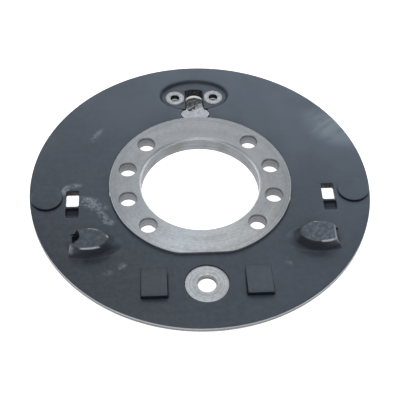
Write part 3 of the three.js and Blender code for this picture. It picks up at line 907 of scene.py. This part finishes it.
def ground_steel():
    """The tongue: ground bare on its root, with old paint left in the hollows further down."""
    g = Graph("ground_tongue")
    ragged = g.ramp(g.mottle((5.0, 6.0, 6.0), 10, 2, 0.5), 0.3, 0.7, -7 * MM, 7 * MM)
    past_bend = g.ramp_mm(g.plus(g.y, ragged), 105.0, 110.0)
    bare = g.times(g.ramp_mm(g.x, -1.0, 7.0), g.ramp_mm(g.y, 121.0, 113.0), 0.8)
    speckle = g.mottle((2.0, 2.0, 2.0), 0, 5, 0.8)
    covered = g.plus(g.math("SUBTRACT", past_bend, bare), g.times(speckle, 1.3))
    covered = g.ramp(covered, 0.95, 1.5)
    marks = g.mottle((5.0, 0.5, 0.8), 62, 4, 0.7)
    metal = g.mix(g.ramp(marks, 0.35, 0.7), TONGUE_BARE, STEEL_DULL_AND_SHADE)
    flecks = g.ramp(g.mottle((3.6, 2.8, 3.0), 20, 5, 0.8), 0.5, 0.68)
    grime = g.mix(flecks, TONGUE_GRIME, TONGUE_FLECKS)
    roughness = g.mix(covered, grey(0.42), grey(0.6))
    normal = g.bump(speckle, 0.4, 0.0006, g.bump(marks, 0.3, 0.0003))
    return g.surface(g.mix(covered, metal, grime), roughness, normal, g.math("SUBTRACT", 1.0, covered))


def weld_paint():
    """Painted weld metal, finely mottled."""
    g = Graph("painted_weld")
    fine = g.noise(300, 4)
    color = g.mix(g.ramp(fine, 0.35, 0.7), PAINT_DARK, PAINT_LIGHT)
    return g.surface(color, g.ramp(fine, 0.3, 0.7, 0.38, 0.55), g.bump(fine, 0.3, 0.0004))


# ---- pieces

def plate_points():
    """Points that carry the pressed shapes: close together on them, and far apart elsewhere."""
    fine = [grid((-42, 100), (42, 154), 1.5)]
    dish_end = DISH_CENTRE_X + DISH_HALF[0]
    half = np.array([0.5 * (dish_end - HOOD_SILL_X) + 1, DISH_HALF[1] + 2])
    for side in (-1, 1):
        x = side * SLOT_CENTRE[0]
        fine.append(grid((x - 10, POCKET_NEAR_Y - 3), (x + 10, POCKET_FAR_Y + 2.2), 0.8))
        centre = np.array([side * 0.5 * (HOOD_SILL_X + dish_end), HOOD_CENTRE[1]])
        fine.append(grid(centre - half, centre + half, 1.0))
    coarse = grid((-PLATE_RADIUS, -PLATE_RADIUS), (PLATE_RADIUS, PLATE_RADIUS), 9.0)
    for points in fine:
        low, high = points.min(axis=0) - 3, points.max(axis=0) + 3
        covered = (coarse > low) & (coarse < high)
        coarse = coarse[~covered[:, :2].all(axis=1)]
    return np.concatenate([*fine, coarse])


def plate_mesh():
    skin = Skin()
    edge = PUNCHED_EDGE
    r, top, back = PLATE_RADIUS, PLATE_TOP, PLATE_BACK
    shoulder = [(r - 1.0, top), (r - 0.45, top - 0.07), (r - 0.12, top - 0.3), (r, top - 0.65)]
    land = [(r, top - 0.65), (r, top - 3.1), (r - 0.16, top - 3.25), (r - 0.16, top - 3.4)]
    fracture = [land[-1], (r - 0.03, top - 3.55), (r - 0.03, back + 0.2), (r - 0.2, back)]
    shoulder, land, fracture = (lathe_loops(part, 320) for part in (shoulder, land, fracture))
    skin.strip(shoulder)
    skin.strip(land, slot=LAND)
    skin.strip(fracture, slot=FRACTURE)

    def punch(upper_end, lower_end, upper_edge=edge, wall_slot=0):
        upper = rounded_edge(upper_end, 1, plate_top, upper_edge, 1)
        lower = rounded_edge(lower_end, 1, plate_back, edge, -1)[::-1]
        skin.through((upper, 0), ([upper[-1], lower[0]], wall_slot), (lower, 0))

    def counterbore(seat, ledge, hole):
        upper = rounded_edge(seat, 1, plate_top, 0.2, 1) + [(seat, ledge), (hole, ledge)]
        lower = rounded_edge(hole, 1, plate_back, edge, -1)[::-1]
        skin.through((upper, 0), ([upper[-1], *lower], TORN))

    keyhole = keyhole_outline()
    upper_end = port_end_moved(keyhole, PORT_LEAN_UP, 0.5, 0.0)
    lower_end = port_end_moved(keyhole, -PORT_LEAN_DOWN, 0.0, PORT_NARROWING)
    punch(upper_end, lower_end, wall_slot=TORN)
    anchor_hole = circle(ANCHOR_HOLE, ANCHOR_CENTRE)
    counterbore(circle(ANCHOR_SEAT, ANCHOR_CENTRE), ANCHOR_LEDGE, anchor_hole)
    low = SLOT_CENTRE - SLOT_HALF
    slot = box_outline(low, low + 2 * SLOT_HALF, SLOT_CORNER, 2.5)
    lower_slot = slot - np.outer(slot[:, 1] > SLOT_CENTRE[1], (0, SLOT_LEAN))
    window = box_outline(TAB_LOW[:2] + TAB_OVERLAP, TAB_HIGH[:2] - TAB_OVERLAP, 0.4, 6.0)
    hood_hole = hood_hole_outline()
    seat = seat_outline(0)
    seat_hole = circle(SEAT_HOLE, SEAT_CENTRE)
    for flip in (False, True):
        turn = mirrored if flip else (lambda outline: outline)
        punch(turn(slot), turn(lower_slot), wall_slot=TORN)
        punch(turn(window), turn(window), 0.5)
        punch(turn(hood_hole), turn(hood_hole), 0.02)
        counterbore(turn(seat), SEAT_LEDGE, turn(seat_hole))

    points = plate_points()
    skin.cap(shoulder[0][0], skin.top_holes, plate_top, points)
    skin.cap(fracture[-1][0], skin.back_holes, plate_back, points)
    return skin.mesh("plate")


def hub_mesh():
    skin = Skin()
    top, back = HUB_TOP, HUB_BACK
    body = hub_outline(HUB_RADIUS, HUB_FLAT_Y)
    outside = [(grown(body, -0.75), top), (grown(body, -0.6), top - 0.05), (grown(body, -0.1), top - 0.4),
               (body, top - 0.55), (body, back + 0.5), (grown(body, -0.5), back)]
    skin.strip(outside[:2])
    skin.strip(outside[1:4], slot=OUTER_EDGE)
    skin.strip(outside[3:])
    r, spigot = BORE_RADIUS, SPIGOT_RADIUS
    edge = [(r + 2.1, top), (r + 1.8, top - 0.1), (r + 0.1, top - 1.75), (r, top - 2.1)]
    foot = [(r, 0.7), (r + 0.6, 0.0), (spigot - 0.6, 0.0), (spigot, 0.6), (spigot, back)]
    bore = lathe_loops(edge + foot, 224)
    skin.through((bore[:2], 0), (bore[1:4], BORE_EDGE), (bore[3:5], BORED), (bore[4:], 0))
    r = BOLT_RADIUS
    profile = [(r + 0.6, top), (r + 0.5, top - 0.08), (r, top - 0.6), (r, back + 0.5), (r + 0.5, back)]
    for centre in BOLT_HOLES:
        hole = lathe_loops(profile, 64, centre)
        skin.through((hole[:3], 0), (hole[2:4], BORED), (hole[3:], 0))
    skin.cap(outside[0][0], skin.top_holes, top)
    skin.cap(outside[-1][0], skin.back_holes, back)
    return skin.mesh("hub")


def ring_mesh(name, outline, hole, bottom, top, edge):
    """A seat ring: a flat face round a hole, with both edges broken."""
    skin = Skin()
    outer = rounded_edge(outline, -1, top, 0.35, 1)
    inner = [(hole, top - edge), (grown(hole, edge * 0.9), top - 0.06), (grown(hole, edge * 1.15), top)]
    skin.strip(outer + [(outline, bottom), (hole, bottom)])
    skin.strip([(hole, bottom), inner[0]], slot=BORED)
    skin.strip(inner)
    skin.cap(outer[0][0], [inner[-1][0]], top)
    return skin.mesh(name)


def tongue_top(x, y):
    bend = smooth((y - TONGUE_SHOULDER_Y + 2) / 12)
    slope = TONGUE_DROP / (TONGUE_TIP_Y - TONGUE_SHOULDER_Y - 3)
    sunk = np.maximum(y - TONGUE_SHOULDER_Y - 1.5, 0) * slope * bend
    ripple = 0.10 * np.sin(x * 0.9 + 0.35 * y) + 0.08 * np.sin(0.5 * x - 1.3 * y)
    return PLATE_TOP - 0.12 - np.minimum(sunk, TONGUE_DROP) + ripple


def tongue_mesh():
    skin = Skin()
    radius = HUB_RADIUS + FIT_GAP
    foot_xs = np.linspace(-TONGUE_FOOT, TONGUE_FOOT, 9)
    foot = [(x, math.sqrt(radius * radius - x * x)) for x in foot_xs]
    right = [(TONGUE_WAIST, TONGUE_WAIST_Y), (NOTCH_HALF, TONGUE_SHOULDER_Y),
             (TONGUE_HALF, TONGUE_SHOULDER_Y + 1.5)]
    left = [(-x, y) for x, y in reversed(right)]
    tip = round_end(TONGUE_HALF, TONGUE_TIP_SHOULDER_Y, TONGUE_TIP_Y, 10)
    outline = divided(filleted([*foot, *right, *tip, *left], 1.0), 1.6)
    outline[:, 0] *= 1 - TONGUE_NARROWING * smooth((outline[:, 1] - NOTCH_FAR_Y + 4) / 6)
    back = shifted(tongue_top, -TONGUE_THICKNESS)
    upper = rounded_edge(outline, -1, tongue_top, 0.4, 1)
    lower = rounded_edge(outline, -1, back, 0.4, -1)[::-1]
    skin.strip(upper + lower)
    points = grid((-17, HUB_RADIUS - 2), (17, TONGUE_TIP_Y + 1), 1.0)
    skin.cap(upper[0][0], [], tongue_top, points)
    skin.cap(lower[-1][0], [], back, points)
    return skin.mesh("tongue", sharp=50)


def dome_mesh(name, profile, foot, crown, run_out, floor):
    """A closed dome over an oval. The profile gives how far each layer has gone from foot to crown."""
    skin = Skin()
    ring = circle(1.0, count=144)
    centre = HOOD_CENTRE + (run_out, 0)
    loops = []
    for share, z in [(profile[0][0], floor), *profile]:
        half = foot + (crown - foot) * share + (run_out, 0)
        loops.append((centre + ring * half, z))
    last, z = loops[-1]
    loops += [(centre + (last - centre) * k, z) for k in (0.8, 0.55, 0.3, 0.1)]
    skin.strip(loops, ends=(-1, 0))
    return skin.mesh(name)


def prism(name, outline, low, high):
    """A closed solid with upright walls, for joining to or cutting from another."""
    skin = Skin()
    skin.strip([(outline, low), (outline, high)])
    skin.cap(outline, [], low)
    skin.cap(outline, [], high)
    return skin.mesh(name)


def carved(base, steps, name):
    """Joins and cuts meshes in order, then rounds the sharp edges that this leaves."""
    body = placed(name, base)
    tools = []
    for operation, mesh in steps:
        tools.append(placed(name + "_tool", mesh))
        change = body.modifiers.new(operation, "BOOLEAN")
        change.operation = operation
        change.solver = "EXACT"
        change.object = tools[-1]
    edges = body.modifiers.new("edges", "BEVEL")
    edges.width = MOUTH_EDGE * MM
    edges.segments = 3
    edges.limit_method = "ANGLE"
    edges.angle_limit = math.radians(42)
    bpy.context.view_layer.update()
    graph = bpy.context.evaluated_depsgraph_get()
    result = bpy.data.meshes.new_from_object(body.evaluated_get(graph))
    result.name = name
    for extra in [body, *tools]:
        bpy.data.objects.remove(extra)
    smooth_shading(result, 40)
    return result


def hood_mesh(name, mouth):
    top = HOOD_TOP
    wall = np.concatenate([
        [(-0.06, PLATE_TOP + 0.012)],
        bezier((0.0, PLATE_TOP + 0.02), (0.22, PLATE_TOP + 0.7), (0.52, PLATE_TOP + 3.1), 9),
        bezier((0.84, top - 2.4), (0.96, top - 0.1), (1.12, top), 10),
    ])
    outside = dome_mesh("hood_outside", wall, HOOD_FOOT, HOOD_CROWN, 0, PLATE_TOP - 0.03)
    under = top - HOOD_WALL
    hollow_wall = np.concatenate([
        [(0.0, PLATE_TOP)],
        bezier((0.2, PLATE_TOP + 0.5), (0.5, under - 2.5), (0.8, under - 1.0), 6),
        [(1.0, under - 0.1), (1.15, under)],
    ])
    foot_in = HOOD_FOOT - HOOD_WALL
    crown_in = HOOD_CROWN - (HOOD_WALL / 2, HOOD_WALL)
    hollow = dome_mesh("hood_hollow", hollow_wall, foot_in, crown_in, HOOD_RUN_OUT, PLATE_BACK - 2)
    lean = math.atan2(mouth["foot_x"] - mouth["top_x"], top - PLATE_TOP)
    corners = np.array([(0, -40), (60, -40), (60, 40), (0, 40)], float)
    beyond = prism("hood_beyond", corners, -40, 60)
    beyond.transform(Matrix.Rotation(-lean, 4, "Y"))
    beyond.transform(Matrix.Translation(Vector((mouth["foot_x"], HOOD_CENTRE[1], PLATE_TOP)) * MM))
    steps = [("DIFFERENCE", beyond)]
    if mouth["bite"]:
        x, y, radius = mouth["bite"]
        bite = prism("hood_bite", circle(radius, (x, y), 48), PLATE_TOP - 0.5, top + 5)
        steps.append(("DIFFERENCE", bite))
    skirt = prism("hood_skirt", grown(hood_hole_outline(), -FIT_GAP), PLATE_BACK, PLATE_TOP + 0.01)
    steps += [("UNION", skirt), ("DIFFERENCE", hollow)]
    return carved(outside, steps, name)


def pad_mesh():
    """A flat disc with an undercut foot, a rolled edge and a faint hollow in its middle."""
    r, top = PAD_RADIUS, PAD_HIGH[2]
    skin = Skin()
    foot = [(r - 0.6, PLATE_TOP), (r - 0.5, PLATE_TOP + 0.5), (r, PLATE_TOP + 0.8)]
    roll = [(r, top - 0.7), (r - 0.1, top - 0.4), (r - 0.3, top - 0.15), (r - 0.6, top - 0.03)]
    face = [(r - 1.0, top), (r * 0.6, top), (r * 0.3, top - 0.05)]
    loops = lathe_loops(foot + roll + face, 112, PAD_CENTRE)
    skin.strip(loops)
    skin.cap(loops[0][0], [], PLATE_TOP)
    skin.cap(loops[-1][0], [], top - 0.05)
    return skin.mesh("pad")


def tab_mesh():
    """A strip of sheet that bends up out of the plate from its root."""
    root, tip = TAB_HIGH[1], TAB_LOW[1]
    half = 0.5 * (TAB_HIGH - TAB_LOW)[0]
    centre_x = 0.5 * (TAB_HIGH + TAB_LOW)[0]
    corner = 0.45
    section = box_outline((-half, -SHEET / 2), (half, SHEET / 2), corner, 30.0)
    bend = 7.0
    slope = TAB_RISE / (root - bend / 2 - tip)

    def station(y, inset):
        down = root - y
        lift = slope * (down ** 2 / (2 * bend) if down < bend else down - bend / 2)
        ring = grown(section, -inset)
        z = PLATE_TOP - SHEET / 2 + lift + ring[:, 1]
        return np.stack([centre_x + ring[:, 0], np.full(len(ring), y), z], axis=1)

    stops = [(root, 0.4), *[(root - k, 0.0) for k in (0, 1.5, 3, 4.5, 6, bend)]]
    stops += [(y, 0.0) for y in np.linspace(root - 12, tip + 0.5, 6)]
    stops += [(tip + 0.22, 0.07), (tip + 0.07, 0.22), (tip, corner)]
    skin = Skin()
    skin.bridge([station(y, inset) for y, inset in stops], ends=(0, -1))
    return skin.mesh("tab", sharp=40)


def weld_mesh(index):
    """A stitch of weld on the back: overlapping ripples that taper at both ends."""
    low, high = node_mm("hub_weld_1")
    leg = high[2] - low[2]
    inner = HUB_RADIUS + FIT_GAP
    half_angle = math.atan2(high[1], HUB_RADIUS)
    sweep = np.linspace(0, 0.5 * math.pi, 13)
    rings = []
    for share in np.linspace(0, 1, 85):
        taper = math.sqrt(min(1.0, 3.2 * math.sin(math.pi * share)))
        ripple = 1 + 0.07 * np.sin(share * 62 + 1.6 * np.cos(2 * sweep))
        size = max(0.12, taper) * leg * ripple * (0.86 + 0.14 * np.sin(2 * sweep))
        r = np.append(inner + size * np.sin(sweep), inner)
        z = np.append(high[2] - size * np.cos(sweep), high[2])
        angle = half_angle * (2 * share - 1) + index * 2 * math.pi / WELDS
        rings.append(np.stack([r * math.cos(angle), r * math.sin(angle), z], axis=1))
    skin = Skin()
    skin.bridge(rings, ends=(0, -1))
    return skin.mesh(f"weld_{index + 1}", sharp=60)


# ---- assembly

sheet_slate = sheet_paint()
shaded = shaded_paint()
hood_slate = hood_paint()
# The hub's turned face has painted shade on all but its near part.
hub_steel = turned_steel("turned_hub", (0, 0), 620, 0.6, shade_far=0.6)
# Painted highlights along the bore's top edge and the hub's outer edge.
bore_edge = edge_highlight_steel("bore_edge_highlight", metallic=1.0)
outer_edge = edge_highlight_steel("outer_edge_highlight", metallic=0.1)
# Painted highlight: the anchor seat's steel is a lighter copy of the turned steel.
anchor_steel = turned_steel("turned_anchor_seat", ANCHOR_CENTRE, 700, 0.62, base=STEEL_ANCHOR_LIT)
bored = wall_steel()
punched = punched_wall()
rim = rim_steel("rim_land", LAND_COLOURS, 0.38)
rim_fracture = rim_steel("rim_fracture", FRACTURE_COLOURS, 0.5)

piece("backing_plate_fine", plate_mesh(), "backing_plate",
      [sheet_slate, rim, rim_fracture, punched])
piece("hub_flange_fine", hub_mesh(), "hub_flange",
      [hub_steel, bored, bore_edge, outer_edge])
for number in range(WELDS):
    name = f"hub_weld_{number + 1}"
    piece(name + "_fine", weld_mesh(number), name, [weld_paint()])

anchor_ring = ring_mesh("anchor_ring", circle(ANCHOR_SEAT - FIT_GAP, ANCHOR_CENTRE, 112),
                        circle(ANCHOR_HOLE, ANCHOR_CENTRE, 112), ANCHOR_LEDGE, ANCHOR_HIGH[2], 0.8)
piece("anchor_pin_seat_fine", anchor_ring, "anchor_pin_seat", [anchor_steel, bored])

for side, name in ((1, "right"), (-1, "left")):
    outline = seat_outline(FIT_GAP)
    hole = circle(SEAT_HOLE, SEAT_CENTRE)
    if side < 0:
        outline, hole = mirrored(outline), mirrored(hole)
    ring = ring_mesh("seat_" + name, outline, hole, SEAT_LEDGE, SEAT_HIGH[2], 0.4)
    steel = turned_steel("turned_seat_" + name, SEAT_CENTRE * [side, 1], 900, 1.0)
    node = "cylinder_seat_" + name
    piece(node + "_fine", ring, node, [steel, punched])

piece("port_tongue_fine", tongue_mesh(), "port_tongue", [ground_steel()])
right_hood = hood_mesh("hood_right", MOUTHS["right"])
left_hood = mirror_mesh(hood_mesh("hood_left_unmirrored", MOUTHS["left"]), "hood_left")
pair("cable_hood", right_hood, left_hood, [hood_slate])
for base, mesh in (("shoe_rest_pad", pad_mesh()), ("shoe_rest_tab", tab_mesh())):
    dark_sided(mesh)
    pair(base, mesh, mirror_mesh(mesh, base + "_left"), [sheet_slate, shaded])


# ---- studio

FLOOR_HALF = 60.0
FLOOR_Z = -0.0005
SOFTBOX_COLOUR = (0.93, 0.965, 1.0)
WORLD_COLOUR = (0.92, 0.96, 1.0, 1.0)


def studio_floor():
    """A pale glowing floor, with a painted shadow that dims it where it shows through the holes of the
    deep recess.
    """
    floor = bpy.data.meshes.new("floor")
    signs = ((-1, -1), (1, -1), (1, 1), (-1, 1))
    corners = [(x * FLOOR_HALF, y * FLOOR_HALF, 0) for x, y in signs]
    floor.from_pydata(corners, [], [(0, 1, 2, 3)])
    obj = placed("floor", floor)
    obj.location.z = FLOOR_Z
    g = Graph("pale_floor")
    pale = g.mix(g.noise(3, 2), grey(0.90), grey(0.94))
    under_recess = g.blob((0, 114, 0), 0, (84, 38, 40))
    under_seats = [g.blob((side * SEAT_CENTRE[0], 131, 0), 0, (14, 9, 40)) for side in (-1, 1)]
    shadow = g.strongest(under_recess, *under_seats)
    glow = g.mix(shadow, grey(1), grey(0.05))
    color = g.mix(shadow, pale, grey(0.2))
    g.feed(g.shader.inputs["Emission Color"], glow)
    g.shader.inputs["Emission Strength"].default_value = 0.95
    floor.materials.append(g.surface(color, 0.8, specular=0.2))


def softbox(name, position, aim, size, radiance):
    light = bpy.data.lights.new(name, "AREA")
    light.shape = "RECTANGLE"
    light.size, light.size_y = size
    light.energy = radiance * math.pi * size[0] * size[1]
    light.color = SOFTBOX_COLOUR
    obj = placed(name, light)
    obj.location = position
    obj.rotation_euler = (Vector(aim) - Vector(position)).to_track_quat("-Z", "Y").to_euler()


def studio_light():
    world = bpy.data.worlds.new("studio")
    world.use_nodes = True
    background = world.node_tree.nodes["Background"].inputs
    background["Color"].default_value = WORLD_COLOUR
    background["Strength"].default_value = 0.2
    SCENE.world = world
    softbox("back_softbox", (0.1, 1.75, 1.15), (0, 0.05, 0), (3.4, 1.3), 1.15)
    softbox("top_softbox", (-0.1, 0.2, 2.2), (0, 0, 0), (1.8, 1.8), 1.4)
    softbox("left_softbox", (-2.1, 0.8, 0.55), (0, 0, 0), (1.6, 0.8), 1.0)
    softbox("right_softbox", (2.1, 0.8, 0.55), (0, 0, 0), (1.6, 0.8), 1.0)
    softbox("front_softbox", (0, -2.0, 1.5), (0, 0, 0), (2.4, 0.6), 1.3)


CAMERA_PLACE = Vector((-45.85, -631.7, 752.6)) * MM
CAMERA_TARGET = Vector((-0.98, -16.32, 8.0)) * MM
CAMERA_ROLL = math.radians(1.45)
CAMERA_LENS = 87.2


def studio_camera():
    data = bpy.data.cameras.new("camera")
    data.sensor_width = 36
    data.lens = CAMERA_LENS
    data.clip_start = 0.01
    obj = placed("camera", data)
    look = (CAMERA_TARGET - CAMERA_PLACE).to_track_quat("-Z", "Y").to_matrix().to_4x4()
    obj.matrix_world = Matrix.Translation(CAMERA_PLACE) @ look @ Matrix.Rotation(CAMERA_ROLL, 4, "Z")
    SCENE.camera = obj


studio_floor()
studio_light()
studio_camera()
SCENE.view_settings.view_transform = "Standard"

bpy.context.view_layer.update()
